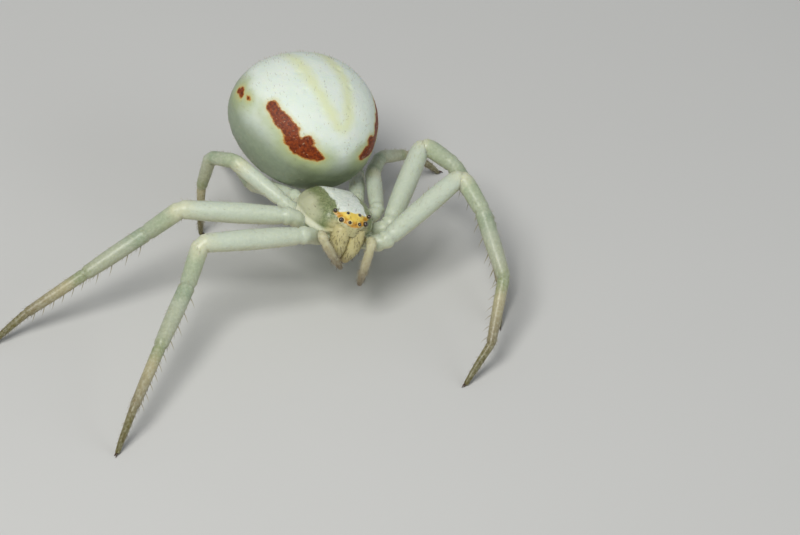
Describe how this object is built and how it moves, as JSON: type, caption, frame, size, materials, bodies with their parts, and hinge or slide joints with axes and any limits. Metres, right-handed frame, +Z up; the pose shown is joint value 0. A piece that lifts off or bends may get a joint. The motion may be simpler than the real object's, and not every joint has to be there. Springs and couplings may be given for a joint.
{
  "type": "crab spider",
  "caption": "Still life-size model of a female flower crab spider, plump pale abdomen with side stripes, front legs spread",
  "frame": {"origin": "middle of the floor under the model's bounding box", "axes": "+Z up, the spider faces -Y, +X to the spider's left"},
  "size_m": [0.021, 0.0172, 0.0073],
  "materials": {
    "carapace": "satin translucent skin, white middle patch between mottled green bands, yellow band across the eyes",
    "abdomen": "satin, white with faint yellow stripes on top, one red-brown stripe on each side, green-grey below",
    "underside": "satin pale green-grey skin",
    "jaw": "satin olive-cream, darker towards the tip",
    "eye": "glossy near-black",
    "leg": "satin translucent pale green, yellower below and at the joints",
    "foot": "satin, pale green running to olive-brown at the tip"
  },
  "bodies": {
    "root": {"carapace": "carapace", "abdomen": "abdomen", "spinnerets": "underside", "pedicel": "underside", "sternum": "underside", "eye_back_side_right": "eye", "eye_back_side_left": "eye", "eye_back_middle_right": "eye", "eye_back_middle_left": "eye", "eye_front_side_right": "eye", "eye_front_side_left": "eye", "eye_front_middle_right": "eye", "eye_front_middle_left": "eye", "chelicera_right": "jaw", "maxilla_right": "underside", "palp_right": "leg", "chelicera_left": "jaw", "maxilla_left": "underside", "palp_left": "leg", "leg_1_right_coxa": "leg", "leg_2_right_coxa": "leg", "leg_3_right_coxa": "leg", "leg_4_right_coxa": "leg", "leg_1_left_coxa": "leg", "leg_2_left_coxa": "leg", "leg_3_left_coxa": "leg", "leg_4_left_coxa": "leg", "leg_1_right_femur": "leg", "leg_1_right_patella": "leg", "leg_1_right_tibia": "leg", "leg_1_right_foot": "foot", "leg_2_right_femur": "leg", "leg_2_right_patella": "leg", "leg_2_right_tibia": "leg", "leg_2_right_foot": "foot", "leg_3_right_femur": "leg", "leg_3_right_patella": "leg", "leg_3_right_tibia": "leg", "leg_3_right_foot": "foot", "leg_4_right_femur": "leg", "leg_4_right_patella": "leg", "leg_4_right_tibia": "leg", "leg_4_right_foot": "foot", "leg_1_left_femur": "leg", "leg_1_left_patella": "leg", "leg_1_left_tibia": "leg", "leg_1_left_foot": "foot", "leg_2_left_femur": "leg", "leg_2_left_patella": "leg", "leg_2_left_tibia": "leg", "leg_2_left_foot": "foot", "leg_3_left_femur": "leg", "leg_3_left_patella": "leg", "leg_3_left_tibia": "leg", "leg_3_left_foot": "foot", "leg_4_left_femur": "leg", "leg_4_left_patella": "leg", "leg_4_left_tibia": "leg", "leg_4_left_foot": "foot"}
  },
  "joints": []
}
